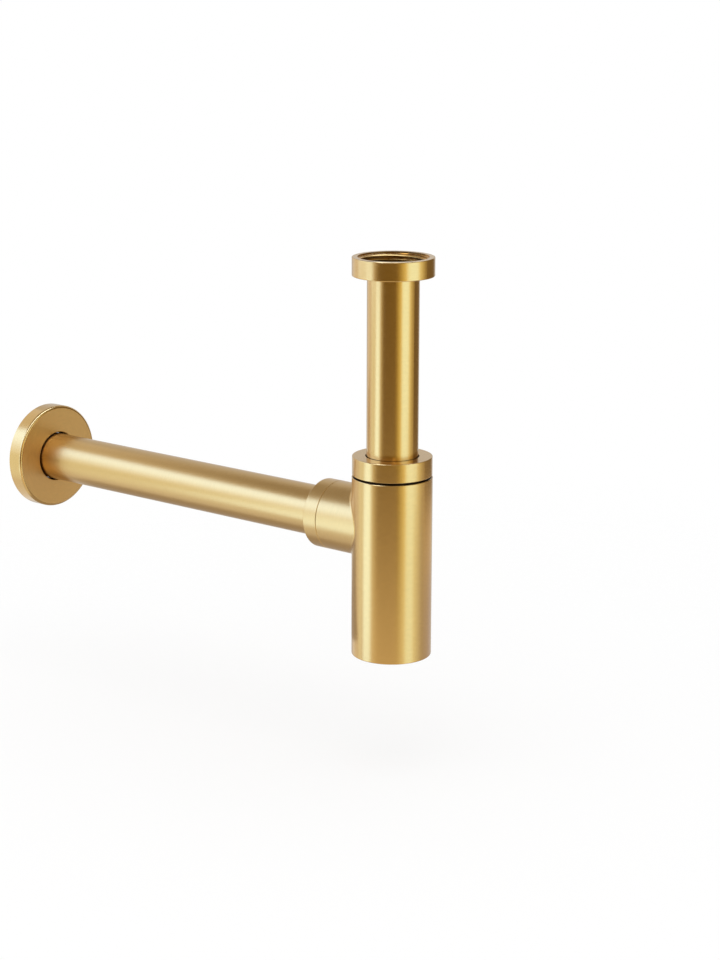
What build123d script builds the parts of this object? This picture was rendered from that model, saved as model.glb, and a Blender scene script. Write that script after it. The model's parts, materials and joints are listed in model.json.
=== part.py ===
from build123d import *
import os

# A bottle trap for a washbasin: an upright inlet tube dips into a round bottle, and a level tube leaves it
# for the wall. Origin: the sealing plane of the inlet nut, on the upright axis. The wall lies towards -X.
# Millimetres. Diameters grow outwards from the tube, so a wall or a clearance moves all that lies round it.

# Tubes
tube_outer = 32.0
tube_wall = 1.0
tube_end_bevel = 0.3
dip_gap = 13.7           # from the end of the dip tube to the floor of the bottle

# Fits
tube_clearance = 0.35    # a bore that guides a tube, per side
grip_clearance = 0.1     # a rubber seal or ring round a tube, per side
thread_clearance = 0.1   # a female thread over its male thread, per side
seat_clearance = 0.1     # a cone seal above its seat, along the axis
ring_clearance = 0.3     # a slip ring inside its nut, per side

# Inlet nut, and the flange and washer that it holds
flange_width = 3.2
flange_thick = 1.5
flange_bend = 0.8
flange_clearance = 0.25
washer_thick = 1.8
washer_lip = 0.2         # the washer's hole is this much wider than the tube's bore, per side
inlet_thread_depth = 1.5
inlet_thread_run = 5.15
relief_depth = 0.6
nut_wall = 4.25
nut_floor = 1.8
mouth_step = 0.85        # the plain mouth is this much wider than the thread, per side
mouth_depth = 1.35
mouth_lead = 0.35        # the slope from the mouth down to the thread
nut_edge = 0.5

# Compression joints
thread_depth = 0.8
slip_ring_thick = 1.4
seal_proud = 0.6
seal_toe = 0.85          # the thin end of a cone seal
edge_break = 0.4

# Collar on top of the bottle
collar_drop = 116.5      # from the sealing plane to the top of the collar
collar_height = 11.8
collar_roof = 3.0
collar_wall = 2.8
collar_hole_gap = 0.7
collar_gap = 1.2         # the shadow line between collar and bottle
neck_wall = 4.75
neck_rim = 1.5
inlet_seat_depth = 5.0

# Bottle
body_step = 0.2          # the bottle stands out past the collar, per side
body_height = 114.2
body_wall = 2.0
body_floor = 2.5
body_roof = 3.0
body_bottom_round = 0.5
sump_round = 3.0

# Outlet stub and its nut
outlet_drop = 32.2       # from the top of the bottle to the outlet axis
stub_length = 18.5       # past the side of the bottle
stub_blend = 2.6
seam_break = 0.25        # on both sides of the seam between stub and nut
spigot_wall = 3.0
spigot_rim = 1.1
outlet_seat_depth = 3.8
outlet_nut_length = 10.25
outlet_nut_wall = 1.7
outlet_nut_roof = 2.2
outlet_nut_gap = 0.1
outlet_nut_edge = 0.5
stop_depth = 2.0         # the ledge that stops the wall tube, past the side of the bottle
stop_width = 1.0

# Wall tube and rosette
wall_distance = 306.9    # from the upright axis to the wall
tube_play = 3.0          # from the ledge to the tube's inner end
tube_behind = 13.1       # how far the tube runs on past the wall face
rosette_outer = 71.0
rosette_depth = 10.9
rosette_wall = 1.6
rosette_edge = 1.8
rosette_hole_gap = 1.0
rosette_hole_edge = 0.5
hub_wall = 3.5
hub_recess = 1.5         # the hub stops short of the wall
grip_section = 2.2
grip_side_gap = 0.2
grip_depth_gap = 0.1

# Radii and heights that follow
tube_radius = tube_outer / 2
bore_radius = tube_radius - tube_wall
guide_radius = tube_radius + tube_clearance
grip_radius = tube_radius + grip_clearance

flange_radius = tube_radius + flange_width
inlet_thread_radius = flange_radius + flange_clearance + inlet_thread_depth
relief_radius = inlet_thread_radius + relief_depth
nut_radius = inlet_thread_radius + nut_wall
flange_top = -washer_thick
flange_bottom = flange_top - flange_thick
nut_bottom = flange_bottom - nut_floor
mouth_radius = inlet_thread_radius + mouth_step
nut_top = inlet_thread_run + mouth_depth

neck_radius = guide_radius + neck_wall
collar_bore_radius = neck_radius + thread_depth + thread_clearance
collar_radius = collar_bore_radius + collar_wall
collar_top = -collar_drop
collar_seat = collar_top - collar_roof
collar_bottom = collar_top - collar_height
inlet_seal_top = collar_seat - slip_ring_thick
neck_top = inlet_seal_top - seal_proud
inlet_seat_radius = neck_radius - neck_rim

body_radius = collar_radius + body_step
body_top = collar_bottom - collar_gap
body_bottom = body_top - body_height
cavity_radius = body_radius - body_wall
cavity_top = body_top - body_roof
cavity_bottom = body_bottom + body_floor
dip_end = cavity_bottom + dip_gap

spigot_radius = guide_radius + spigot_wall
outlet_nut_bore_radius = spigot_radius + thread_depth + thread_clearance
stub_radius = outlet_nut_bore_radius + outlet_nut_wall
outlet_height = body_top - outlet_drop
stub_end = body_radius + stub_length
outlet_nut_start = stub_end + outlet_nut_gap
outlet_nut_end = outlet_nut_start + outlet_nut_length
outlet_nut_seat = outlet_nut_end - outlet_nut_roof
outlet_seal_end = outlet_nut_seat - slip_ring_thick
spigot_end = outlet_seal_end - seal_proud
outlet_seat_radius = spigot_radius - spigot_rim
tube_stop = body_radius + stop_depth
stop_radius = tube_radius - stop_width

tube_start = tube_stop + tube_play
tube_finish = wall_distance + tube_behind
rosette_radius = rosette_outer / 2
rosette_front = wall_distance - rosette_depth
rosette_hole_radius = tube_radius + rosette_hole_gap
hub_radius = rosette_hole_radius + hub_wall
hub_end = wall_distance - hub_recess
grip_center = (rosette_front + hub_end) / 2
grip_outer_radius = grip_radius + grip_section
groove_radius = grip_outer_radius + grip_depth_gap
groove_half = grip_section / 2 + grip_side_gap

# Half sections are drawn as (radius, height) round the upright axis, or as (radius, reach) round the outlet
# axis, where reach grows from the upright axis towards the wall.
upright = Plane.XZ
outlet = Plane(origin=(0, 0, outlet_height), x_dir=(0, 0, 1), z_dir=(0, -1, 0))
outlet_axis = Axis((0, 0, outlet_height), (-1, 0, 0))


def cone_seal(section, axis, seat_radius, seat_level, top_level, seat_depth):
    """A rubber cone that lies in a countersunk seat, whose mouth is at seat_level."""
    toe_level = seat_level - seat_depth + seat_clearance
    with BuildPart() as seal:
        with BuildSketch(section):
            with BuildLine():
                Polyline(
                    (grip_radius, toe_level),
                    (grip_radius + seal_toe, toe_level),
                    (seat_radius, seat_level + seat_clearance),
                    (seat_radius, top_level),
                    (grip_radius, top_level),
                    close=True,
                )
            make_face()
        revolve(axis=axis)
    return seal.part


def flat_ring(section, axis, inner_radius, outer_radius, low, high):
    """A plain ring of rectangular section."""
    with BuildPart() as ring:
        with BuildSketch(section):
            with BuildLine():
                Polyline(
                    (inner_radius, low),
                    (outer_radius, low),
                    (outer_radius, high),
                    (inner_radius, high),
                    close=True,
                )
            make_face()
        revolve(axis=axis)
    return ring.part


# Inlet nut: a plain round coupling nut with a plain mouth, and a thread relief above its floor
with BuildPart() as inlet_nut:
    with BuildSketch(upright):
        with BuildLine():
            Polyline(
                (guide_radius, nut_bottom),
                (nut_radius, nut_bottom),
                (nut_radius, nut_top),
                (mouth_radius, nut_top),
                (mouth_radius, inlet_thread_run + mouth_lead),
                (inlet_thread_radius, inlet_thread_run),
                (inlet_thread_radius, 0),
                (relief_radius, 0),
                (relief_radius, flange_bottom),
                (guide_radius + flange_bend, flange_bottom),
                (guide_radius, flange_bottom - flange_bend),
                close=True,
            )
        make_face()
    revolve(axis=Axis.Z)
    outer_rims = inlet_nut.edges().filter_by(GeomType.CIRCLE).group_by(SortBy.RADIUS)[-1]
    fillet(outer_rims, nut_edge)

# Inlet washer: lies on the flange, its top face is the sealing plane
inlet_washer_part = flat_ring(upright, Axis.Z, bore_radius + washer_lip, flange_radius, flange_top, 0)

# Inlet tube: flanged at the top, dips into the bottle
with BuildPart() as inlet_tube:
    with BuildSketch(upright):
        with BuildLine():
            Polyline(
                (bore_radius, dip_end),
                (tube_radius, dip_end),
                (tube_radius, flange_bottom),
                (flange_radius, flange_bottom),
                (flange_radius, flange_top),
                (bore_radius, flange_top),
                close=True,
            )
        make_face()
    revolve(axis=Axis.Z)
    under_flange = inlet_tube.edges().filter_by_position(Axis.Z, flange_bottom, flange_bottom)
    flange_root = under_flange.filter_by(GeomType.CIRCLE).sort_by(SortBy.RADIUS)[0]
    fillet(flange_root, flange_bend)
    dip_edges = inlet_tube.edges().filter_by(GeomType.CIRCLE).group_by(Axis.Z)[0]
    chamfer(dip_edges, tube_end_bevel)

# Collar: the round nut that presses the inlet seal
with BuildPart() as inlet_collar:
    with BuildSketch(upright):
        with BuildLine():
            Polyline(
                (tube_radius + collar_hole_gap, collar_seat),
                (collar_bore_radius, collar_seat),
                (collar_bore_radius, collar_bottom),
                (collar_radius, collar_bottom),
                (collar_radius, collar_top),
                (tube_radius + collar_hole_gap, collar_top),
                close=True,
            )
        make_face()
    revolve(axis=Axis.Z)
    collar_rims = inlet_collar.edges().filter_by(GeomType.CIRCLE).group_by(SortBy.RADIUS)[-1]
    fillet(collar_rims, edge_break)

inlet_slip_ring_radius = collar_bore_radius - ring_clearance
inlet_slip_ring_part = flat_ring(
    upright, Axis.Z, guide_radius, inlet_slip_ring_radius, inlet_seal_top, collar_seat
)
inlet_seal_part = cone_seal(
    upright, Axis.Z, inlet_seat_radius, neck_top, inlet_seal_top, inlet_seat_depth
)

# Trap body: bottle, threaded neck and outlet stub in one piece
with BuildPart() as trap_body:
    with BuildSketch(upright):
        with BuildLine():
            Polyline(
                (0, body_bottom),
                (body_radius, body_bottom),
                (body_radius, body_top),
                (neck_radius, body_top),
                (neck_radius, neck_top),
                (0, neck_top),
                close=True,
            )
        make_face()
    revolve(axis=Axis.Z)
    body_rims = trap_body.edges().filter_by(GeomType.CIRCLE).group_by(SortBy.RADIUS)[-1]
    fillet(body_rims.sort_by(Axis.Z)[0], body_bottom_round)
    fillet(body_rims.sort_by(Axis.Z)[-1], edge_break)
    # The stub, blended into the side of the bottle
    with BuildSketch(outlet):
        with BuildLine():
            Polyline(
                (0, 0),
                (stub_radius, 0),
                (stub_radius, stub_end - seam_break),
                (stub_radius - seam_break, stub_end),
                (spigot_radius, stub_end),
                (spigot_radius, spigot_end),
                (0, spigot_end),
                close=True,
            )
        make_face()
    revolve(axis=outlet_axis)
    curved_edges = trap_body.edges().filter_by(GeomType.LINE, reverse=True)
    stub_foot = curved_edges.filter_by(GeomType.CIRCLE, reverse=True)
    fillet(stub_foot, stub_blend)
    # The room for the water, open at the neck
    with BuildSketch(upright):
        with BuildLine():
            Polyline(
                (0, cavity_bottom),
                (cavity_radius, cavity_bottom),
                (cavity_radius, cavity_top),
                (guide_radius, cavity_top),
                (guide_radius, neck_top - inlet_seat_depth),
                (grip_radius + seal_toe, neck_top - inlet_seat_depth),
                (inlet_seat_radius, neck_top),
                (0, neck_top),
                close=True,
            )
        make_face()
        sump_corner = vertices().group_by(Axis.Z)[0].sort_by(Axis.X)[-1]
        fillet(sump_corner, sump_round)
    revolve(axis=Axis.Z, mode=Mode.SUBTRACT)
    # The way out: a narrow throat that stops the wall tube, its socket and the seat of its seal
    with BuildSketch(outlet):
        with BuildLine():
            Polyline(
                (0, 0),
                (stop_radius, 0),
                (stop_radius, tube_stop),
                (guide_radius, tube_stop),
                (guide_radius, spigot_end - outlet_seat_depth),
                (grip_radius + seal_toe, spigot_end - outlet_seat_depth),
                (outlet_seat_radius, spigot_end),
                (0, spigot_end),
                close=True,
            )
        make_face()
    revolve(axis=outlet_axis, mode=Mode.SUBTRACT)

# Outlet nut: a plain ring flush with the stub
with BuildPart() as outlet_nut:
    with BuildSketch(outlet):
        with BuildLine():
            Polyline(
                (guide_radius, outlet_nut_seat),
                (outlet_nut_bore_radius, outlet_nut_seat),
                (outlet_nut_bore_radius, outlet_nut_start),
                (stub_radius, outlet_nut_start),
                (stub_radius, outlet_nut_end),
                (guide_radius, outlet_nut_end),
                close=True,
            )
        make_face()
    revolve(axis=outlet_axis)
    nut_rims = outlet_nut.edges().filter_by(GeomType.CIRCLE).group_by(SortBy.RADIUS)[-1]
    fillet(nut_rims.sort_by(Axis.X)[0], outlet_nut_edge)
    chamfer(nut_rims.sort_by(Axis.X)[-1], seam_break)

outlet_slip_ring_radius = outlet_nut_bore_radius - ring_clearance
outlet_slip_ring_part = flat_ring(
    outlet, outlet_axis, guide_radius, outlet_slip_ring_radius, outlet_seal_end, outlet_nut_seat
)
outlet_seal_part = cone_seal(
    outlet, outlet_axis, outlet_seat_radius, spigot_end, outlet_seal_end, outlet_seat_depth
)

# Wall tube: from the socket in the stub to just inside the wall
with BuildPart() as wall_tube:
    with BuildSketch(outlet):
        with BuildLine():
            Polyline(
                (bore_radius, tube_start),
                (tube_radius, tube_start),
                (tube_radius, tube_finish),
                (bore_radius, tube_finish),
                close=True,
            )
        make_face()
    revolve(axis=outlet_axis)
    chamfer(wall_tube.edges().filter_by(GeomType.CIRCLE), tube_end_bevel)

# Rosette: a turned cup with a hub, open towards the wall
with BuildPart() as wall_rosette:
    with BuildSketch(outlet):
        with BuildLine():
            Polyline(
                (rosette_hole_radius, rosette_front),
                (rosette_radius, rosette_front),
                (rosette_radius, wall_distance),
                (rosette_radius - rosette_wall, wall_distance),
                (rosette_radius - rosette_wall, rosette_front + rosette_wall),
                (hub_radius, rosette_front + rosette_wall),
                (hub_radius, hub_end),
                (rosette_hole_radius, hub_end),
                (rosette_hole_radius, grip_center + groove_half),
                (groove_radius, grip_center + groove_half),
                (groove_radius, grip_center - groove_half),
                (rosette_hole_radius, grip_center - groove_half),
                close=True,
            )
        make_face()
    revolve(axis=outlet_axis)
    widest_rims = wall_rosette.edges().filter_by(GeomType.CIRCLE).group_by(SortBy.RADIUS)[-1]
    fillet(widest_rims.sort_by(Axis.X)[-1], rosette_edge)
    front_rims = wall_rosette.edges().filter_by(GeomType.CIRCLE).group_by(Axis.X)[-1]
    fillet(front_rims.sort_by(SortBy.RADIUS)[0], rosette_hole_edge)

# Rosette ring: an O-ring in the hub's groove that grips the wall tube
with BuildPart() as rosette_ring:
    with BuildSketch(outlet):
        with Locations((grip_radius + grip_section / 2, grip_center)):
            Circle(grip_section / 2)
    revolve(axis=outlet_axis)

pieces = {
    "inlet_nut": inlet_nut.part,
    "inlet_washer": inlet_washer_part,
    "inlet_tube": inlet_tube.part,
    "inlet_collar": inlet_collar.part,
    "inlet_slip_ring": inlet_slip_ring_part,
    "inlet_seal": inlet_seal_part,
    "trap_body": trap_body.part,
    "outlet_nut": outlet_nut.part,
    "outlet_slip_ring": outlet_slip_ring_part,
    "outlet_seal": outlet_seal_part,
    "wall_tube": wall_tube.part,
    "wall_rosette": wall_rosette.part,
    "rosette_ring": rosette_ring.part,
}
os.makedirs("parts", exist_ok=True)
for name, piece in pieces.items():
    piece.label = name
    export_step(piece, f"parts/{name}.step")
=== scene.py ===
import json
import math

import bpy
from mathutils import Matrix, Vector


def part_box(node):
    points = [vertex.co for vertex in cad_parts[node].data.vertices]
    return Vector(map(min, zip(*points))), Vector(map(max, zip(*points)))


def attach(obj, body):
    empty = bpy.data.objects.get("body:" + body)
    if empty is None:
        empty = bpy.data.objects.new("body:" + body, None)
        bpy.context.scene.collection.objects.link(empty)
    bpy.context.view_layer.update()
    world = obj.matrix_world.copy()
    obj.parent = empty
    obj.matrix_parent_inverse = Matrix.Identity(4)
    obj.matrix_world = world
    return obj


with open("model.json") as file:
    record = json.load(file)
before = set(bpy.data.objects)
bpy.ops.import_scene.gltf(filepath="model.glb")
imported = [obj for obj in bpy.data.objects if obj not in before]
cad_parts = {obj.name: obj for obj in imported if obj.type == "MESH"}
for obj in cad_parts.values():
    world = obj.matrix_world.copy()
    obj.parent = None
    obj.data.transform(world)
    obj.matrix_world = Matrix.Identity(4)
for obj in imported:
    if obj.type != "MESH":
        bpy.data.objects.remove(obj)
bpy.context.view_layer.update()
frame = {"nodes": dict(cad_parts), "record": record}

bl_info = {
    "name": "Bottle Trap Finish",
    "version": (1, 0, 0),
    "blender": (4, 5, 0),
    "location": "View3D > Sidebar > Bottle Trap",
    "description": "Screw threads, brushed gold finish and studio stage for a bottle trap",
    "category": "Object",
}

MM = 0.001
IMAGE_LONG_SIDE = 960
SENSOR = 36.0

# Gaps beside the places that the solids give
SHADOW_LINE = 1.2 * MM       # between collar and bottle
MOUTH_STEP = 0.85 * MM       # the inlet nut's mouth is this much wider than its thread, per side
FLOOR_CLEARANCE = 30.0 * MM  # under the lowest place that the bottle slides to

# Places that the solids give
INLET_MOUNT = next(m for m in frame["record"]["mounts"] if m["name"] == "inlet")
INLET_WALL = INLET_MOUNT["dims"]["r_mm"] * MM
INLET_RUN = INLET_MOUNT["dims"]["length_mm"] * MM
MOUTH_RADIUS = INLET_WALL + MOUTH_STEP
OUTLET_HEIGHT = (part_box("wall_tube")[0].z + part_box("wall_tube")[1].z) / 2
BOTTLE_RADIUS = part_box("trap_body")[1].x
BOTTLE_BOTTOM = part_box("trap_body")[0].z
NECK_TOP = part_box("trap_body")[1].z
SPIGOT_END = -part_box("trap_body")[0].x
COLLAR_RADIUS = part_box("inlet_collar")[1].x
COLLAR_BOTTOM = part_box("inlet_collar")[0].z
BODY_TOP = COLLAR_BOTTOM - SHADOW_LINE
NUT_START = -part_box("outlet_nut")[1].x
ROSETTE_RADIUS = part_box("wall_rosette")[1].y
JOINTS = frame["record"]["behaviour"]["joints"]
HEIGHT_SLIDE = next(j for j in JOINTS if j["name"] == "height_slide")
FLOOR_HEIGHT = BOTTLE_BOTTOM + HEIGHT_SLIDE["range_m"][0] - FLOOR_CLEARANCE

# Brush marks
FACE_SHARE = 0.45        # how fast the marks follow each other on an end face, against a wall
AXIS_GUARD = 0.1 * MM    # keeps the marks finite on the axis
FINE_VARIETY = 6.0       # how much the fine marks vary round the axis
BROAD_VARIETY = 5.0
MARK_TINT = 0.08         # lighter and darker colour between the broad marks
MARK_ROUGHNESS = 0.06    # span of roughness between the broad marks
COAT_ROUGHNESS = 0.25
ANISOTROPY = 0.15        # of the upright pieces
QUARTER_TURN = 0.25

# Roughness where the coating ends or changes
CUT_ROUGHNESS = 0.22
# roughness of the painted shade in and beside the collar's joint
GAP_SHADE_ROUGHNESS = 0.5
RIM_ROUGHNESS = 0.2

# Moulded and cut surfaces: roughness, size of the grain and its depth
RUBBER_SKIN = (0.6, 0.3 * MM, 0.01 * MM)
PLASTIC_SKIN = (0.45, 0.5 * MM, 0.004 * MM)
BRASS_SKIN = (0.30, 1.5 * MM, 0.0005 * MM)
RUBBER_SHINE = 0.1
GRAIN_TINT = 0.1
GRAIN_ROUGHNESS = 0.2

# Where a mask starts and where it is full, measured from the edge that it follows
STUB_FADE = (0.1 * MM, 0.6 * MM)
# The collar fades bound the painted shade on the collar's underside and in its bore.
COLLAR_UNDER_FADE = (0.02 * MM, 0.1 * MM)
COLLAR_BORE_FADE = (-2.7 * MM, -2.6 * MM)
COLLAR_ROOF_FADE = (0.0, 0.5 * MM)
# The shoulder and neck fades bound the painted shade in the groove under the collar.
SHOULDER_SIDE_FADE = (-0.6 * MM, -0.5 * MM)
SHOULDER_TOP_FADE = (-0.2 * MM, -0.1 * MM)
NECK_FOOT_FADE = (0.0, 0.4 * MM)
MOUTH_FADE = (0.05 * MM, 0.15 * MM)
RIM_FADE = (-2.2 * MM, -1.4 * MM)

GOLD_LEVEL = ("outlet_nut", "wall_tube")
RUBBER = ("inlet_washer", "inlet_seal", "outlet_seal", "rosette_ring")
PLASTIC = ("inlet_slip_ring", "outlet_slip_ring")


class ThreadSettings(bpy.types.PropertyGroup):
    """Sizes of the screw threads"""

    inlet_pitch: bpy.props.FloatProperty(
        name="Inlet pitch",
        description="Rise of the inlet thread in one turn",
        default=2.309 * MM, unit="LENGTH",
    )
    inlet_depth: bpy.props.FloatProperty(
        name="Inlet depth",
        description="How far the inlet thread stands out of its wall",
        default=1.35 * MM, unit="LENGTH",
    )
    joint_pitch: bpy.props.FloatProperty(
        name="Joint pitch",
        description="Rise of a joint's thread in one turn",
        default=1.5 * MM, unit="LENGTH",
    )
    joint_depth: bpy.props.FloatProperty(
        name="Joint depth",
        description="How far a joint's thread stands out of its wall",
        default=0.7 * MM, unit="LENGTH",
    )
    neck_root: bpy.props.FloatProperty(
        name="Neck root",
        description="Radius of the bottle's neck under its thread",
        default=21.1 * MM, unit="LENGTH",
    )
    collar_bore: bpy.props.FloatProperty(
        name="Collar bore",
        description="Radius of the collar's bore behind its thread",
        default=22.0 * MM, unit="LENGTH",
    )
    spigot_root: bpy.props.FloatProperty(
        name="Spigot root",
        description="Radius of the outlet spigot under its thread",
        default=19.35 * MM, unit="LENGTH",
    )
    nut_bore: bpy.props.FloatProperty(
        name="Outlet nut bore",
        description="Radius of the outlet nut's bore behind its thread",
        default=20.25 * MM, unit="LENGTH",
    )


class FinishSettings(bpy.types.PropertyGroup):
    """Colours and surface of each material"""

    gold: bpy.props.FloatVectorProperty(
        name="Gold",
        description="Colour of the brushed gold coating",
        subtype="COLOR", default=(0.60, 0.38, 0.13),
    )
    gold_roughness: bpy.props.FloatProperty(
        name="Gold roughness",
        description="Roughness of the brushed gold",
        default=0.23, subtype="FACTOR",
    )
    level_roughness: bpy.props.FloatProperty(
        name="Level roughness",
        description="Roughness of the gold on the level pieces",
        default=0.30, subtype="FACTOR",
    )
    coat: bpy.props.FloatProperty(
        name="Clear coat",
        description="Weight of the clear coat over the gold",
        default=0.35, subtype="FACTOR",
    )
    fine_mark: bpy.props.FloatProperty(
        name="Fine mark",
        description="Spacing of the finest brush marks",
        default=0.08 * MM, unit="LENGTH",
    )
    broad_mark: bpy.props.FloatProperty(
        name="Broad mark",
        description="Spacing of the broad brush marks",
        default=0.7 * MM, unit="LENGTH",
    )
    mark_depth: bpy.props.FloatProperty(
        name="Mark depth",
        description="Depth of the brush marks",
        default=0.006 * MM, unit="LENGTH",
    )
    # Painted light: the rosette's gold is painted lighter than the other pieces' gold, standing in
    # for more light on its face.
    rosette_lightened_gold: bpy.props.FloatVectorProperty(
        name="Rosette gold",
        description="Colour of the coating on the rosette's sheet",
        subtype="COLOR", default=(0.73, 0.462, 0.163),
    )
    rosette_roughness: bpy.props.FloatProperty(
        name="Rosette roughness",
        description="Roughness of the rosette's broad face",
        default=0.46, subtype="FACTOR",
    )
    raw_brass: bpy.props.FloatVectorProperty(
        name="Raw brass",
        description="Colour of the cut brass of threads and inlet mouth",
        subtype="COLOR", default=(0.58, 0.35, 0.10),
    )
    # Painted shade: this dark colour darkens the groove between collar and bottle and the collar's
    # underside and bore, standing in for their shade.
    gap_shade: bpy.props.FloatVectorProperty(
        name="Bare brass",
        description="Colour of the greased brass between collar and bottle",
        subtype="COLOR", default=(0.10, 0.06, 0.025),
    )
    rubber: bpy.props.FloatVectorProperty(
        name="Rubber",
        description="Colour of washers and seals",
        subtype="COLOR", default=(0.012, 0.012, 0.012),
    )
    plastic: bpy.props.FloatVectorProperty(
        name="Plastic",
        description="Colour of the slip rings",
        subtype="COLOR", default=(0.75, 0.75, 0.72),
    )


class StageSettings(bpy.types.PropertyGroup):
    """Camera, floor and light"""

    camera_place: bpy.props.FloatVectorProperty(
        name="Camera place",
        description="Where the camera stands",
        subtype="TRANSLATION", default=(0.80318, -1.04172, 0.20025),
    )
    camera_yaw: bpy.props.FloatProperty(
        name="Camera yaw",
        description="Turn of the view from +Y towards -X",
        default=math.radians(38.497), subtype="ANGLE",
    )
    camera_pitch: bpy.props.FloatProperty(
        name="Camera pitch",
        description="How far the view looks down",
        default=math.radians(14.183), subtype="ANGLE",
    )
    camera_roll: bpy.props.FloatProperty(
        name="Camera roll",
        description="Turn of the picture about the view",
        default=math.radians(0.139), subtype="ANGLE",
    )
    focal_pixels: bpy.props.FloatProperty(
        name="Focal length",
        description="Focal length in pixels of the picture",
        default=2200.3,
    )
    floor: bpy.props.FloatVectorProperty(
        name="Floor",
        description="Colour of the floor",
        subtype="COLOR", default=(0.93, 0.93, 0.93),
    )
    floor_radius: bpy.props.FloatProperty(
        name="Floor radius",
        description="Where the floor has faded into the background",
        default=0.9, unit="LENGTH",
    )
    shadow_fill: bpy.props.FloatProperty(
        name="Shadow fill",
        description="How much of the floor's shadow is filled with white",
        default=0.55, subtype="FACTOR",
    )
    ambient: bpy.props.FloatProperty(
        name="Ambient light",
        description="Strength of the light from all round",
        default=1.0,
    )
    lamp_power: bpy.props.FloatProperty(
        name="Lamp power",
        description="Power of the overhead lamp",
        default=2.5, unit="POWER",
    )
    panel_distance: bpy.props.FloatProperty(
        name="Panel distance",
        description="From the upright axis to the reflector panels",
        default=0.7, unit="LENGTH",
    )
    front_distance: bpy.props.FloatProperty(
        name="Front distance",
        description="From the upright axis to the panels in front",
        default=2.0, unit="LENGTH",
    )


class TrapSettings(bpy.types.PropertyGroup):
    """All that a user may change"""

    threads: bpy.props.PointerProperty(type=ThreadSettings)
    finish: bpy.props.PointerProperty(type=FinishSettings)
    stage: bpy.props.PointerProperty(type=StageSettings)


class Wire:
    """A socket of a node tree that takes part in Python arithmetic."""

    def __init__(self, graph, socket):
        self.graph = graph
        self.socket = socket

    def pick(self, output):
        """Another output of the same node."""
        return Wire(self.graph, self.socket.node.outputs[output])

    def math(self, operation, *values):
        return self.graph.add("ShaderNodeMath", {"operation": operation}, dict(enumerate(values)))

    def __add__(self, other):
        return self.math("ADD", self, other)

    def __sub__(self, other):
        return self.math("SUBTRACT", self, other)

    def __rsub__(self, other):
        return self.math("SUBTRACT", other, self)

    def __mul__(self, other):
        return self.math("MULTIPLY", self, other)

    def __truediv__(self, other):
        return self.math("DIVIDE", self, other)

    def __pow__(self, other):
        return self.math("POWER", self, other)

    def at_least(self, other):
        return self.math("MAXIMUM", self, other)

    __radd__ = __add__
    __rmul__ = __mul__


class Graph:
    """The node tree of one material or world."""

    def __init__(self, owner):
        owner.use_nodes = True
        self.tree = owner.node_tree
        self.tree.nodes.clear()

    def add(self, kind, settings=None, inputs=None, output=0):
        """Adds a node of any type, sets its settings, then sets or links its sockets."""
        node = self.tree.nodes.new(kind)
        for name, value in (settings or {}).items():
            setattr(node, name, value)
        for name, value in (inputs or {}).items():
            if isinstance(value, Wire):
                self.tree.links.new(value.socket, node.inputs[name])
            else:
                node.inputs[name].default_value = value
        return Wire(self, node.outputs[output]) if node.outputs else node

    def position(self):
        """The three object coordinates of the shaded point."""
        place = self.add("ShaderNodeTexCoord").pick("Object")
        axes = self.add("ShaderNodeSeparateXYZ", inputs={0: place})
        return axes, axes.pick(1), axes.pick(2)

    def between(self, value, low, high):
        """0 below low, 1 above high, smooth between."""
        ends = {"Value": value, "From Min": low, "From Max": high}
        return self.add("ShaderNodeMapRange", {"interpolation_type": "SMOOTHSTEP"}, ends)

    def past(self, value, edge, fade):
        """0 before an edge and 1 past it."""
        return self.between(value, edge + fade[0], edge + fade[1])

    def mix_colour(self, share, first, second):
        sockets = {0: share, 6: first, 7: second}
        return self.add("ShaderNodeMix", {"data_type": "RGBA"}, sockets, output=2)

    def mix_value(self, share, first, second):
        return (second - first) * share + first


def rgba(colour, gain=1.0):
    return (*[channel * gain for channel in colour], 1.0)


def axis_distance(first, second):
    """Distance from an axis, from the two coordinates across it."""
    return (first * first + second * second) ** 0.5


def new_material(name):
    material = bpy.data.materials.new(name)
    return material, Graph(material)


def brush_marks(graph, along, across, up, spacing, variety):
    """Marks that run round an axis, on its walls and its end faces alike."""
    radius = axis_distance(across, up).at_least(AXIS_GUARD)
    over = (along + radius * FACE_SHARE) / spacing
    place = {0: over, 1: across / radius * variety, 2: up / radius * variety}
    marks = graph.add("ShaderNodeCombineXYZ", inputs=place)
    noise = {"Vector": marks, "Scale": 1.0, "Detail": 2.0, "Roughness": 0.6}
    return graph.add("ShaderNodeTexNoise", inputs=noise)


def upright_marks(graph, spacing, variety):
    x, y, z = graph.position()
    return brush_marks(graph, z, x, y, spacing, variety)


def level_marks(graph, spacing, variety):
    x, y, z = graph.position()
    return brush_marks(graph, x, y, z - OUTLET_HEIGHT, spacing, variety)


def on_stub(graph):
    """1 on the bottle's outlet stub."""
    x, y, _ = graph.position()
    return graph.past(axis_distance(x, y), BOTTLE_RADIUS, STUB_FADE)


def bottle_marks(graph, spacing, variety):
    """Upright marks on the bottle that turn to level ones on its stub."""
    upright = upright_marks(graph, spacing, variety)
    return graph.mix_value(on_stub(graph), upright, level_marks(graph, spacing, variety))


def collar_inside_shade(graph):
    """1 on the underside and in the bore of the collar, where painted shade goes."""
    x, y, z = graph.position()
    radius = axis_distance(x, y)
    under = 1.0 - graph.past(z, COLLAR_BOTTOM, COLLAR_UNDER_FADE)
    bore = 1.0 - graph.past(radius, COLLAR_RADIUS, COLLAR_BORE_FADE)
    below_roof = 1.0 - graph.past(z, NECK_TOP, COLLAR_ROOF_FADE)
    return under.at_least(bore * below_roof)


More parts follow.
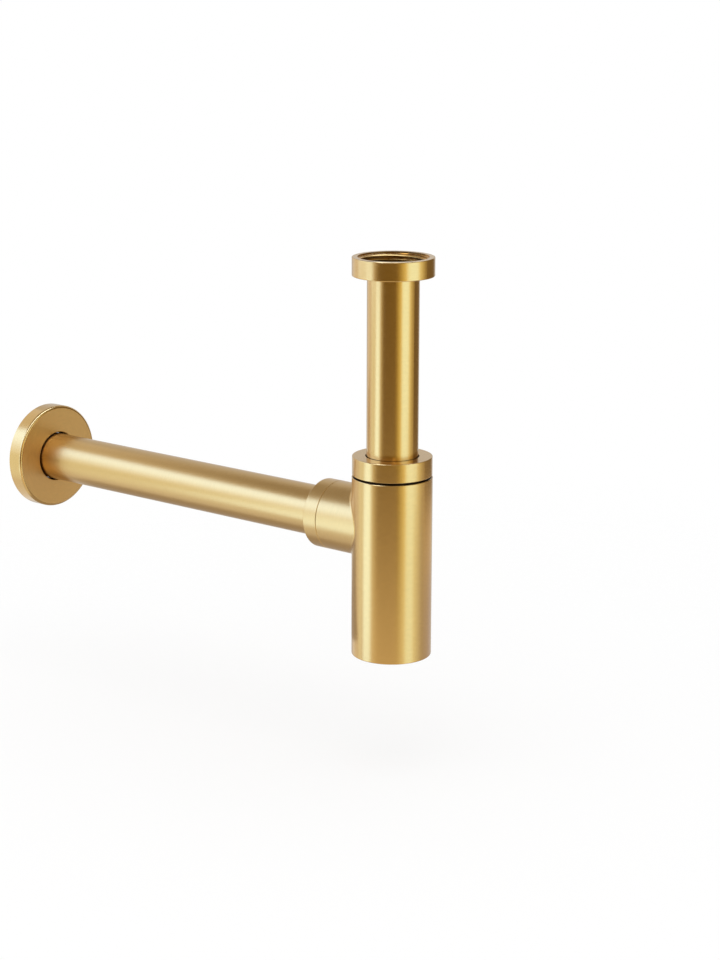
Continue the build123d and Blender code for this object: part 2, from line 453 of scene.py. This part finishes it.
def neck_groove_shade(graph):
    """1 in the groove between the bottle's shoulder and the collar, where painted shade goes."""
    x, y, z = graph.position()
    inner = 1.0 - graph.past(axis_distance(x, y), BOTTLE_RADIUS, SHOULDER_SIDE_FADE)
    above = graph.past(z, BODY_TOP, SHOULDER_TOP_FADE)
    below = 1.0 - graph.past(z, COLLAR_BOTTOM, NECK_FOOT_FADE)
    return above * below * inner


def inside_mouth(graph):
    """1 in the mouth of the inlet nut."""
    x, y, _ = graph.position()
    return 1.0 - graph.past(axis_distance(x, y), MOUTH_RADIUS, MOUTH_FADE)


def rosette_rim(graph):
    """1 on the rounded rim of the rosette."""
    _, y, z = graph.position()
    return graph.past(axis_distance(y, z - OUTLET_HEIGHT), ROSETTE_RADIUS, RIM_FADE)


def nowhere(graph):
    """No mask: the coating covers the whole piece."""
    return None


def brushed_gold(
    name, finish, gold, marks, anisotropy, satin,
    other=nowhere, other_colour=(0.0, 0.0, 0.0), other_roughness=GAP_SHADE_ROUGHNESS, level=nowhere,
):
    """Satin gold, brushed round the axis of the piece, with another colour and roughness where a mask
    says: cut brass, the rim's plain gold, or painted shade.
    """
    material, graph = new_material(name)
    fine = marks(graph, finish.fine_mark, FINE_VARIETY)
    broad = marks(graph, finish.broad_mark, BROAD_VARIETY)
    relief = {"Strength": 1.0, "Distance": finish.mark_depth, "Height": fine}
    bump = graph.add("ShaderNodeBump", inputs=relief)
    colour = graph.mix_colour(broad, rgba(gold, 1.0 - MARK_TINT), rgba(gold, 1.0 + MARK_TINT))
    stub = level(graph)
    if stub:
        satin = graph.mix_value(stub, satin, finish.level_roughness)
    roughness = satin + (broad - 0.5) * MARK_ROUGHNESS
    mask = other(graph)
    if mask:
        colour = graph.mix_colour(mask, colour, rgba(other_colour))
        roughness = graph.mix_value(mask, roughness, other_roughness)
    surface = graph.add(
        "ShaderNodeBsdfPrincipled",
        inputs={
            "Base Color": colour,
            "Metallic": 1.0,
            "Roughness": roughness,
            "Coat Weight": finish.coat,
            "Coat Roughness": COAT_ROUGHNESS,
            "Anisotropic": anisotropy,
            "Anisotropic Rotation": QUARTER_TURN,
            "Normal": bump,
        },
    )
    graph.add("ShaderNodeOutputMaterial", inputs={"Surface": surface})
    return material


def moulded(name, colour, skin, metallic=0.0, shine=0.5):
    """Rubber, plastic or bare metal with a fine grain."""
    roughness, grain, depth = skin
    material, graph = new_material(name)
    place = graph.add("ShaderNodeTexCoord").pick("Object")
    pattern = {"Vector": place, "Scale": 1 / grain, "Detail": 3.0}
    noise = graph.add("ShaderNodeTexNoise", inputs=pattern)
    relief = {"Strength": 1.0, "Distance": depth, "Height": noise}
    bump = graph.add("ShaderNodeBump", inputs=relief)
    dark, light = rgba(colour, 1.0 - GRAIN_TINT), rgba(colour, 1.0 + GRAIN_TINT)
    surface = graph.add(
        "ShaderNodeBsdfPrincipled",
        inputs={
            "Base Color": graph.mix_colour(noise, dark, light),
            "Metallic": metallic,
            "Specular IOR Level": shine,
            "Roughness": roughness + (noise - 0.5) * GRAIN_ROUGHNESS,
            "Normal": bump,
        },
    )
    graph.add("ShaderNodeOutputMaterial", inputs={"Surface": surface})
    return material


def material_named(name, make, *values):
    """The material of that name, made on its first use."""
    return bpy.data.materials.get(name) or make(name, *values)


def gold_upright(finish):
    return material_named(
        "brushed_gold_upright", brushed_gold, finish, finish.gold, upright_marks, ANISOTROPY,
        finish.gold_roughness,
    )


def gold_nut(finish):
    """Gold with cut brass in the mouth."""
    return material_named(
        "brushed_gold_nut", brushed_gold, finish, finish.gold, upright_marks, ANISOTROPY,
        finish.gold_roughness, inside_mouth, finish.raw_brass, CUT_ROUGHNESS,
    )


def gold_level(finish):
    return material_named(
        "brushed_gold_level", brushed_gold, finish, finish.gold, level_marks, 0.0,
        finish.level_roughness,
    )


def gold_rosette(finish):
    """A matt face whose gold is painted lighter, as painted light, with a smoother rim in the plain
    gold that shines brighter.
    """
    return material_named(
        "brushed_gold_rosette", brushed_gold, finish, finish.rosette_lightened_gold, level_marks, 0.0,
        finish.rosette_roughness, rosette_rim, finish.gold, RIM_ROUGHNESS,
    )


def gold_bottle(finish):
    """Gold with painted shade in the groove under the collar, and the level pieces' roughness on the
    stub.
    """
    return material_named(
        "brushed_gold_bottle", brushed_gold, finish, finish.gold, bottle_marks, ANISOTROPY,
        finish.gold_roughness, neck_groove_shade, finish.gap_shade, GAP_SHADE_ROUGHNESS, on_stub,
    )


def gold_collar(finish):
    """Gold with painted shade on its underside and in its bore."""
    return material_named(
        "brushed_gold_collar", brushed_gold, finish, finish.gold, upright_marks, ANISOTROPY,
        finish.gold_roughness, collar_inside_shade, finish.gap_shade,
    )


def raw_brass(finish):
    """Clean cut brass of the threads."""
    return material_named("raw_brass_thread", moulded, finish.raw_brass, BRASS_SKIN, 1.0)


def dress(node, material):
    """Gives a node of the solids its finish."""
    piece = frame["nodes"][node]
    piece.data.materials.clear()
    piece.data.materials.append(material)


# Threads
THREAD_STEPS = 96         # points of the helix in one turn
LEAST_HEIGHT = 0.02       # share of the full ridge at its two ends
CREST_ROUNDING = 0.45     # share of the crest's width
RIDGE_LIFT = 0.45         # share of the depth, so that the ridge's foot lies a little in its wall
SHARP_EDGE = math.radians(40)
INLET_ROOT, INLET_CREST = 0.78, 0.2    # widths, as shares of the pitch
JOINT_ROOT, JOINT_CREST = 0.54, 0.17
INLET_RUN_OUT, JOINT_RUN_OUT = 0.2, 0.25    # turns over which a ridge grows
NECK_LEAD = 0.7 * MM      # from the collar's lower edge to the neck's thread
SPIGOT_LEAD = 0.4 * MM    # from the nut's inner edge to the spigot's thread
MALE_STOP = 0.3 * MM      # short of the end of neck or spigot
FEMALE_STOP = 0.2 * MM    # past it

THREAD_INPUTS = (
    ("Radius", "NodeSocketFloat"),
    ("Pitch", "NodeSocketFloat"),
    ("Turns", "NodeSocketFloat"),
    ("Depth", "NodeSocketFloat"),
    ("Root Width", "NodeSocketFloat"),
    ("Crest Width", "NodeSocketFloat"),
    ("Facing", "NodeSocketFloat"),
    ("Run Out", "NodeSocketFloat"),
    ("Turn", "NodeSocketRotation"),
    ("Start", "NodeSocketVector"),
    ("Material", "NodeSocketMaterial"),
)


def thread_tree():
    """A right-handed ridge that winds up a wall and runs out at both ends."""
    name = "screw_thread"
    if name in bpy.data.node_groups:
        return bpy.data.node_groups[name]
    tree = bpy.data.node_groups.new(name, "GeometryNodeTree")
    for label, kind in THREAD_INPUTS:
        tree.interface.new_socket(label, in_out="INPUT", socket_type=kind)
    tree.interface.new_socket("Geometry", in_out="OUTPUT", socket_type="NodeSocketGeometry")
    group = tree.nodes.new("NodeGroupInput").outputs

    def node(kind, settings=None, links=None):
        made = tree.nodes.new(kind)
        for key, value in (settings or {}).items():
            setattr(made, key, value)
        for key, value in (links or {}).items():
            if isinstance(value, bpy.types.NodeSocket):
                tree.links.new(value, made.inputs[key])
            else:
                made.inputs[key].default_value = value
        return made.outputs

    def maths(operation, *values):
        return node("ShaderNodeMath", {"operation": operation}, dict(enumerate(values)))[0]

    # Reversed, the spiral climbs counter-clockwise: right-handed, with its normals outwards
    rise = maths("MULTIPLY", group["Pitch"], group["Turns"])
    helix = node(
        "GeometryNodeCurveSpiral",
        links={
            "Resolution": THREAD_STEPS, "Rotations": group["Turns"], "Height": rise,
            "Start Radius": group["Radius"], "End Radius": group["Radius"], "Reverse": True,
        },
    )[0]
    helix = node("GeometryNodeSetCurveNormal", {"mode": "Z_UP"}, {"Curve": helix})[0]
    along = node("GeometryNodeSplineParameter")["Factor"]
    end = maths("MINIMUM", along, maths("SUBTRACT", 1.0, along))
    grown = maths("DIVIDE", maths("MULTIPLY", end, group["Turns"]), group["Run Out"])
    grown = maths("MAXIMUM", maths("MINIMUM", 1.0, grown), LEAST_HEIGHT)
    helix = node("GeometryNodeSetCurveRadius", links={"Curve": helix, "Radius": grown})[0]
    profile = node(
        "GeometryNodeCurvePrimitiveQuadrilateral",
        {"mode": "TRAPEZOID"},
        {
            "Height": group["Depth"], "Bottom Width": group["Root Width"],
            "Top Width": group["Crest Width"], "Offset": 0.0,
        },
    )[0]
    rounding = maths("MULTIPLY", group["Crest Width"], CREST_ROUNDING)
    profile = node(
        "GeometryNodeFilletCurve", {"mode": "POLY"},
        {"Curve": profile, "Count": 3, "Radius": rounding, "Limit Radius": True},
    )[0]
    lift = maths("MULTIPLY", group["Depth"], RIDGE_LIFT)
    raised = node("ShaderNodeCombineXYZ", links={1: lift})[0]
    profile = node("GeometryNodeTransform", links={"Geometry": profile, "Translation": raised})[0]
    quarter = maths("MULTIPLY", group["Facing"], -math.pi / 2)
    turn = node("ShaderNodeCombineXYZ", links={2: quarter})[0]
    profile = node("GeometryNodeTransform", links={"Geometry": profile, "Rotation": turn})[0]
    sweep = {"Curve": helix, "Profile Curve": profile, "Fill Caps": True}
    ridge = node("GeometryNodeCurveToMesh", links=sweep)[0]
    placed = node(
        "GeometryNodeTransform",
        links={"Geometry": ridge, "Translation": group["Start"], "Rotation": group["Turn"]},
    )[0]
    real = node("GeometryNodeRealizeInstances", links={"Geometry": placed})[0]
    coating = {"Geometry": real, "Material": group["Material"]}
    dressed = node("GeometryNodeSetMaterial", links=coating)[0]
    tree.links.new(dressed, tree.nodes.new("NodeGroupOutput").inputs[0])
    return tree


def make_thread(name, body, **sizes):
    """Runs the thread tree once and keeps its result as a plain mesh that rides on a body."""
    tree = thread_tree()
    piece = bpy.data.objects.new(name, bpy.data.meshes.new(name))
    bpy.context.scene.collection.objects.link(piece)
    winding = piece.modifiers.new("winding", "NODES")
    winding.node_group = tree
    inputs = [item for item in tree.interface.items_tree if item.in_out == "INPUT"]
    identifiers = {item.name: item.identifier for item in inputs}
    for label, value in sizes.items():
        winding[identifiers[label.replace("_", " ").title()]] = value
    ready = piece.evaluated_get(bpy.context.evaluated_depsgraph_get())
    mesh = bpy.data.meshes.new_from_object(ready)
    piece.modifiers.clear()
    piece.data = mesh
    if not mesh.polygons:
        raise RuntimeError(f"{name}: the thread has no faces")
    mesh.shade_smooth()
    mesh.set_sharp_from_angle(angle=SHARP_EDGE)
    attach(piece, body)


UPRIGHT = (0.0, 0.0, 0.0)
TO_WALL = (0.0, -math.pi / 2, 0.0)
OUTWARD = 1.0
INWARD = -1.0


def wind_joint(trap, male, female, first, last, turn, place):
    """Two threads that mesh, half a pitch apart, from first to last along the joint's axis."""
    pitch = trap.threads.joint_pitch
    common = {
        "pitch": pitch, "depth": trap.threads.joint_depth, "root_width": JOINT_ROOT * pitch,
        "crest_width": JOINT_CREST * pitch, "run_out": JOINT_RUN_OUT, "turn": turn,
        "material": raw_brass(trap.finish),
    }
    name, body, radius = male
    make_thread(
        name, body, radius=radius, turns=(last - MALE_STOP - first) / pitch, facing=OUTWARD,
        start=place(first), **common,
    )
    name, body, radius = female
    first += pitch / 2
    make_thread(
        name, body, radius=radius, turns=(last + FEMALE_STOP - first) / pitch, facing=INWARD,
        start=place(first), **common,
    )


class TRAP_OT_inlet_thread(bpy.types.Operator):
    """Winds the pipe thread inside the inlet nut"""

    bl_idname = "trap.inlet_thread"
    bl_label = "Inlet Thread"

    def execute(self, context):
        trap = context.scene.bottle_trap
        pitch = trap.threads.inlet_pitch
        root = INLET_ROOT * pitch
        low = root / 2
        make_thread(
            "inlet_nut_thread", "inlet_nut", radius=INLET_WALL, pitch=pitch,
            turns=(INLET_RUN - low) / pitch, depth=trap.threads.inlet_depth, root_width=root,
            crest_width=INLET_CREST * pitch, facing=INWARD, run_out=INLET_RUN_OUT, turn=UPRIGHT,
            start=(0.0, 0.0, low), material=raw_brass(trap.finish),
        )
        return {"FINISHED"}


class TRAP_OT_joint_threads(bpy.types.Operator):
    """Winds the meshing threads of the collar on its neck and of the outlet nut on its spigot"""

    bl_idname = "trap.joint_threads"
    bl_label = "Joint Threads"

    def execute(self, context):
        trap = context.scene.bottle_trap
        threads = trap.threads
        wind_joint(
            trap, ("neck_thread", "bottle", threads.neck_root),
            ("collar_thread", "inlet_collar", threads.collar_bore),
            COLLAR_BOTTOM + NECK_LEAD, NECK_TOP, UPRIGHT, lambda along: (0.0, 0.0, along),
        )
        wind_joint(
            trap, ("spigot_thread", "bottle", threads.spigot_root),
            ("outlet_nut_thread", "outlet_nut", threads.nut_bore),
            NUT_START + SPIGOT_LEAD, SPIGOT_END, TO_WALL,
            lambda along: (-along, 0.0, OUTLET_HEIGHT),
        )
        return {"FINISHED"}


class TRAP_OT_gold_finish(bpy.types.Operator):
    """Gives every brass piece its brushed gold coating"""

    bl_idname = "trap.gold_finish"
    bl_label = "Brushed Gold"

    def execute(self, context):
        finish = context.scene.bottle_trap.finish
        dress("inlet_nut", gold_nut(finish))
        dress("inlet_tube", gold_upright(finish))
        for node in GOLD_LEVEL:
            dress(node, gold_level(finish))
        # The rosette's gold is painted lighter, as painted light.
        dress("wall_rosette", gold_rosette(finish))
        # The collar and the bottle carry painted shade in and beside their joint.
        dress("inlet_collar", gold_collar(finish))
        dress("trap_body", gold_bottle(finish))
        return {"FINISHED"}


class TRAP_OT_seal_finish(bpy.types.Operator):
    """Gives washers, seals and slip rings their rubber and plastic"""

    bl_idname = "trap.seal_finish"
    bl_label = "Rubber and Plastic"

    def execute(self, context):
        finish = context.scene.bottle_trap.finish
        rubber = material_named(
            "black_rubber_matt", moulded, finish.rubber, RUBBER_SKIN, 0.0, RUBBER_SHINE
        )
        plastic = material_named("white_plastic_matt", moulded, finish.plastic, PLASTIC_SKIN)
        for node in RUBBER:
            dress(node, rubber)
        for node in PLASTIC:
            dress(node, plastic)
        return {"FINISHED"}


# Light that the reflector panels give
WINDOW = (1.68, 2.42, 4.4)
WINDOW_LOW = (1.32, 1.55, 2.0)
SOFTBOX = (1.66, 2.30, 3.5)
SIDE_LIGHT = (1.12, 1.22, 1.20)
FAR_SIDE = (1.20, 1.36, 1.48)
LEFT_FLOOR = (1.0, 1.06, 1.18)
FAR_FLOOR = (0.75, 0.73, 0.78)
LEFT_GLOW = (1.15, 1.12, 0.85)
LEFT_GLOW_LOW = (1.20, 1.28, 1.25)
LEFT_GLOW_TOP = (0.80, 0.68, 0.40)
LEFT_WARM = (0.27, 0.17, 0.03)
LEFT_WARM_LOW = (0.95, 0.86, 0.62)
FRONT_GLOW = (0.55, 0.42, 0.20)
FRONT_WARM = (1.9, 1.6, 0.9)
FLAG = (0.23, 0.15, 0.035)
NEAR_FLOOR = (1.10, 1.00, 0.82)
RIGHT_WARM = (0.28, 0.15, 0.0)
RIGHT_WARM_LOW = (0.90, 0.80, 0.52)
RIGHT_GLOW = (1.38, 1.28, 0.55)
RIGHT_GLOW_LOW = (1.35, 1.55, 1.50)
RIGHT_LIGHT = (1.5, 2.0, 2.55)
RIGHT_LOW = (1.40, 1.78, 2.15)
FAR_GLOW = (1.40, 1.42, 0.95)
FAR_GLOW_LOW = (1.28, 1.42, 1.32)
FAR_WARM = (0.34, 0.22, 0.05)
FAR_EDGE_LOW = (0.62, 0.57, 0.58)
DARK_WALL = (0.25, 0.18, 0.09)
BACK_FLOOR = (0.88, 0.77, 0.62)
BACK_SHADE = (0.66, 0.62, 0.68)
REAR = (0.72, 0.71, 0.69)
OVERHEAD = (4.0, 5.3, 8.8)
CEILING = (0.36, 0.30, 0.22)
CEILING_RIM = (0.80, 0.76, 0.72)
# Painted shadow: the darker glow of the sheet under the pipe stands in for the floor's shadow there.
UNDER_PIPE = (0.50, 0.45, 0.40)
UNDER_PIPE_RIM = (0.55, 0.5, 0.45)
WHITE = (1.0, 1.0, 1.0)

# Reflector panels round the upright axis: name, first and last bearing from the camera in
# degrees, lowest and highest edge in metres, light at the lowest and at the highest edge, and the
# same two at the last bearing where they differ from those at the first
PANELS = (
    ("left_window", -112, -94, 0.12, 0.29, WINDOW, WINDOW),
    ("left_near_window", -94, -56, 0.12, 0.42, WINDOW, WINDOW),
    ("left_window_foot", -112, -56, -0.12, 0.12, WINDOW_LOW, WINDOW),
    ("left_far_wall", -107, -97, -0.52, -0.12, FAR_SIDE, FAR_SIDE),
    ("left_wall", -97, -80, -0.26, -0.12, SIDE_LIGHT, SIDE_LIGHT),
    ("left_wall_middle", -97, -84, -0.30, -0.26, SIDE_LIGHT, SIDE_LIGHT),
    ("left_wall_foot", -97, -88, -0.52, -0.30, LEFT_FLOOR, SIDE_LIGHT),
    ("left_softbox", -80, -59, -0.26, -0.12, SOFTBOX, SOFTBOX),
    ("left_softbox_middle", -84, -62, -0.30, -0.26, SOFTBOX, SOFTBOX),
    ("left_softbox_foot", -88, -62, -0.52, -0.30, SOFTBOX, SOFTBOX),
    ("left_floor", -112, -56, -1.2, -0.52, FAR_FLOOR, LEFT_FLOOR),
    ("left_edge_top", -56, -43, -0.12, 0.12, LEFT_GLOW_TOP, LEFT_GLOW_TOP, LEFT_WARM, LEFT_WARM),
    ("left_edge", -59, -43, -0.26, -0.12, LEFT_GLOW, LEFT_GLOW, LEFT_WARM, LEFT_WARM),
    ("left_edge_foot", -62, -43, -0.47, -0.26, LEFT_GLOW_LOW, LEFT_GLOW, LEFT_WARM_LOW, LEFT_WARM),
    ("right_edge", 12, 39, -0.28, 0.30, RIGHT_WARM, RIGHT_WARM, RIGHT_GLOW, RIGHT_GLOW),
    ("right_edge_foot", 12, 39, -0.50, -0.28, RIGHT_WARM_LOW, RIGHT_WARM, RIGHT_GLOW_LOW, RIGHT_GLOW),
    ("right_softbox", 39, 74, -0.30, 0.30, RIGHT_LIGHT, RIGHT_LIGHT),
    ("right_floor", 39, 62, -1.2, -0.30, RIGHT_LOW, RIGHT_LOW),
    ("right_floor_edge", 62, 98, -1.2, -0.30, FAR_GLOW_LOW, FAR_GLOW_LOW, FAR_EDGE_LOW, FAR_EDGE_LOW),
    ("right_far_edge", 74, 103, -0.30, 0.42, FAR_GLOW, FAR_GLOW, FAR_WARM, FAR_WARM),
    ("right_flag", 103, 150, -0.32, 0.42, DARK_WALL, DARK_WALL),
    ("right_back_wall", 98, 150, -0.39, -0.32, BACK_FLOOR, BACK_FLOOR),
    ("right_back_floor", 98, 150, -1.2, -0.39, BACK_SHADE, BACK_SHADE),
    ("rear_wall", 150, 215, -1.2, 0.42, REAR, REAR),
)

# The same for the panels that stand further off, in front
FRONT_PANELS = (
    ("front_glow", -56, 5, 0.32, 1.30, FRONT_GLOW, FRONT_GLOW),
    ("front_right_glow", 5, 39, 0.32, 1.30, FRONT_WARM, FRONT_WARM),
    ("front_flag", -43, 12, -0.62, 0.32, FLAG, FLAG),
    ("front_slope", -43, 12, -0.93, -0.62, NEAR_FLOOR, FLAG),
    ("front_floor", -62, 39, -3.0, -0.93, NEAR_FLOOR, NEAR_FLOOR),
)

# Level reflector panels: name, low and high corner, height, light in the middle and at the rim,
# where the one starts to give way to the other and where it has
LEVEL_PANELS = (
    ("overhead_softbox", (-0.15, -0.60), (0.03, 0.40), 0.42, OVERHEAD, OVERHEAD, 0.2, 0.4),
    ("ceiling", (-0.8, -0.8), (0.8, 0.8), 0.43, CEILING, CEILING_RIM, 0.56, 0.80),
    # A dark sheet under the pipe that only the metal mirrors: painted shadow standing in for the
    # floor's shade below the pipe.
    (
        "under_pipe", (-0.34, -0.035), (-0.045, 0.06), BOTTLE_BOTTOM, UNDER_PIPE, UNDER_PIPE_RIM,
        0.1, 0.2,
    ),
)

PANEL_STEPS = 24
FLOOR_RINGS, FLOOR_SPOKES = 6, 64
FLOOR_FADE = (0.35, 0.95)    # shares of the floor's radius between which it fades
LAMP_SIZE = 1.2
LAMP_PLACE = (0.1, -0.4, 1.2)
LAMP_AIM = (-0.1, 0.0, BOTTLE_BOTTOM)
CLIP_START, CLIP_END = 0.01, 50.0


def camera_bearing(stage):
    """Turn of the camera about the upright axis."""
    place = stage.camera_place
    return math.atan2(place[0], -place[1])


def hang_reflector(name, points, faces, glow):
    """A panel that only mirror-like surfaces see."""
    mesh = bpy.data.meshes.new(name)
    mesh.from_pydata(points, [], faces)
    panel = bpy.data.objects.new(name, mesh)
    bpy.context.scene.collection.objects.link(panel)
    material, graph = new_material(name)
    graph.add("ShaderNodeOutputMaterial", inputs={"Surface": glow(graph)})
    mesh.materials.append(material)
    panel.visible_camera = panel.visible_diffuse = panel.visible_shadow = False


def wall_reflector(
    stage, distance, name, first, last, low, high, low_light, high_light,
    low_end=None, high_end=None,
):
    """A curved upright panel round the upright axis."""
    bearing = camera_bearing(stage)
    points = []
    for step in range(PANEL_STEPS + 1):
        angle = bearing + math.radians(first + (last - first) * step / PANEL_STEPS)
        x, y = distance * math.sin(angle), -distance * math.cos(angle)
        points += [(x, y, low), (x, y, high)]
    faces = [(2 * i, 2 * i + 2, 2 * i + 3, 2 * i + 1) for i in range(PANEL_STEPS)]

    def glow(graph):
        x, y, height = graph.position()
        rise = graph.between(height, low, high)
        light = graph.mix_colour(rise, rgba(low_light), rgba(high_light))
        if low_end:
            angle = x.math("ARCTAN2", x, y * -1.0) - bearing
            round_axis = (angle - math.radians(first)) / math.radians(last - first)
            end_light = graph.mix_colour(rise, rgba(low_end), rgba(high_end))
            light = graph.mix_colour(round_axis, light, end_light)
        return graph.add("ShaderNodeEmission", inputs={"Color": light})

    hang_reflector(name, points, faces, glow)


def flat_reflector(name, low, high, height, near, far, inner, outer):
    """A level panel whose light goes from one colour near its middle to another away from it."""
    corners = ((low[0], low[1]), (high[0], low[1]), (high[0], high[1]), (low[0], high[1]))
    points = [(x, y, height) for x, y in corners]

    def glow(graph):
        x, y, _ = graph.position()
        across, deep = x - (low[0] + high[0]) / 2, y - (low[1] + high[1]) / 2
        away = graph.between(axis_distance(across, deep), inner, outer)
        light = graph.mix_colour(away, rgba(near), rgba(far))
        return graph.add("ShaderNodeEmission", inputs={"Color": light})

    hang_reflector(name, points, [(0, 1, 2, 3)], glow)


def make_floor(stage):
    """A round pale floor that fades into the background at its rim."""
    rings, spokes = FLOOR_RINGS, FLOOR_SPOKES
    points = [(0.0, 0.0, FLOOR_HEIGHT)]
    for ring in range(1, rings + 1):
        reach = stage.floor_radius * ring / rings
        for spoke in range(spokes):
            angle = 2 * math.pi * spoke / spokes
            points.append((reach * math.cos(angle), reach * math.sin(angle), FLOOR_HEIGHT))
    faces = [(0, 1 + i, 1 + (i + 1) % spokes) for i in range(spokes)]
    for ring in range(rings - 1):
        inner, outer = 1 + ring * spokes, 1 + (ring + 1) * spokes
        for i in range(spokes):
            j = (i + 1) % spokes
            faces.append((inner + i, outer + i, outer + j, inner + j))
    mesh = bpy.data.meshes.new("floor")
    mesh.from_pydata(points, [], faces)
    floor = bpy.data.objects.new("floor", mesh)
    bpy.context.scene.collection.objects.link(floor)
    material, graph = new_material("pale_floor")
    x, y, _ = graph.position()
    fade_start, fade_end = (share * stage.floor_radius for share in FLOOR_FADE)
    fade = graph.between(axis_distance(x, y), fade_start, fade_end)
    matt = graph.add("ShaderNodeBsdfDiffuse", inputs={"Color": rgba(stage.floor)})
    white = graph.add("ShaderNodeEmission", inputs={"Color": rgba(WHITE)})
    seen = graph.add("ShaderNodeLightPath").pick("Is Camera Ray")
    fill = seen * stage.shadow_fill
    pale = graph.add("ShaderNodeMixShader", inputs={0: fill, 1: matt, 2: white})
    clear = graph.add("ShaderNodeBsdfTransparent")
    surface = graph.add("ShaderNodeMixShader", inputs={0: fade, 1: pale, 2: clear})
    graph.add("ShaderNodeOutputMaterial", inputs={"Surface": surface})
    mesh.materials.append(material)
    floor.visible_glossy = False


def make_world(stage):
    """A white background, and an even soft light on what isn't mirror-like."""
    world = bpy.data.worlds.new("studio")
    bpy.context.scene.world = world
    graph = Graph(world)
    ray = graph.add("ShaderNodeLightPath")
    seen = ray.pick("Is Camera Ray").at_least(ray.pick("Is Glossy Ray"))
    seen = seen.at_least(ray.pick("Is Transmission Ray"))
    strength = graph.mix_value(seen, stage.ambient, 1.0)
    shine = {"Color": rgba(WHITE), "Strength": strength}
    white = graph.add("ShaderNodeBackground", inputs=shine)
    graph.add("ShaderNodeOutputWorld", inputs={"Surface": white})


def make_lamp(stage):
    """A broad soft lamp overhead, which the metal doesn't mirror."""
    lamp = bpy.data.lights.new("overhead_lamp", "AREA")
    lamp.shape = "DISK"
    lamp.size = LAMP_SIZE
    lamp.energy = stage.lamp_power
    holder = bpy.data.objects.new("overhead_lamp", lamp)
    holder.location = LAMP_PLACE
    aim = Vector(LAMP_AIM) - holder.location
    holder.rotation_euler = aim.to_track_quat("-Z", "Y").to_euler()
    holder.visible_camera = holder.visible_glossy = False
    bpy.context.scene.collection.objects.link(holder)


def make_camera(stage):
    """The camera of the photograph, from its place, its three turns and its focal length."""
    yaw, pitch, roll = stage.camera_yaw, stage.camera_pitch, stage.camera_roll
    level = math.cos(pitch)
    forward = Vector((-math.sin(yaw) * level, math.cos(yaw) * level, -math.sin(pitch)))
    right = Vector((math.cos(yaw), math.sin(yaw), 0.0))
    up = right.cross(forward)
    side = right * math.cos(roll) + up * math.sin(roll)
    head = side.cross(forward)
    turn = Matrix((side, head, -forward)).transposed()
    lens = bpy.data.cameras.new("photo_camera")
    lens.sensor_width = SENSOR
    lens.lens = stage.focal_pixels * SENSOR / IMAGE_LONG_SIDE
    lens.clip_start, lens.clip_end = CLIP_START, CLIP_END
    camera = bpy.data.objects.new("photo_camera", lens)
    camera.matrix_world = Matrix.Translation(stage.camera_place) @ turn.to_4x4()
    bpy.context.scene.collection.objects.link(camera)
    bpy.context.scene.camera = camera


class TRAP_OT_stage(bpy.types.Operator):
    """Sets up the floor, the background, the light and the camera"""

    bl_idname = "trap.stage"
    bl_label = "Studio Stage"

    def execute(self, context):
        stage = context.scene.bottle_trap.stage
        make_floor(stage)
        for panel in PANELS:
            wall_reflector(stage, stage.panel_distance, *panel)
        for panel in FRONT_PANELS:
            wall_reflector(stage, stage.front_distance, *panel)
        for panel in LEVEL_PANELS:
            flat_reflector(*panel)
        make_world(stage)
        make_lamp(stage)
        make_camera(stage)
        context.scene.view_settings.view_transform = "Standard"
        return {"FINISHED"}


class TRAP_PT_tools(bpy.types.Panel):
    """Lists the steps that dress the trap"""

    bl_label = "Bottle Trap"
    bl_idname = "TRAP_PT_tools"
    bl_space_type = "VIEW_3D"
    bl_region_type = "UI"
    bl_category = "Bottle Trap"

    def draw(self, context):
        for operator in OPERATORS:
            self.layout.operator(operator.bl_idname)
        trap = context.scene.bottle_trap
        for group in (trap.threads, trap.finish, trap.stage):
            box = self.layout.box()
            for name in group.bl_rna.properties.keys():
                if name not in ("rna_type", "name"):
                    box.prop(group, name)


OPERATORS = (
    TRAP_OT_gold_finish, TRAP_OT_seal_finish, TRAP_OT_inlet_thread, TRAP_OT_joint_threads,
    TRAP_OT_stage,
)
GROUPS = (ThreadSettings, FinishSettings, StageSettings, TrapSettings)
CLASSES = (*GROUPS, *OPERATORS, TRAP_PT_tools)


def register():
    for item in CLASSES:
        bpy.utils.register_class(item)
    bpy.types.Scene.bottle_trap = bpy.props.PointerProperty(type=TrapSettings)


def unregister():
    del bpy.types.Scene.bottle_trap
    for item in reversed(CLASSES):
        bpy.utils.unregister_class(item)


def main():
    register()
    bpy.ops.trap.gold_finish()
    bpy.ops.trap.seal_finish()
    bpy.ops.trap.inlet_thread()
    bpy.ops.trap.joint_threads()
    bpy.ops.trap.stage()


if __name__ == "__main__":
    main()
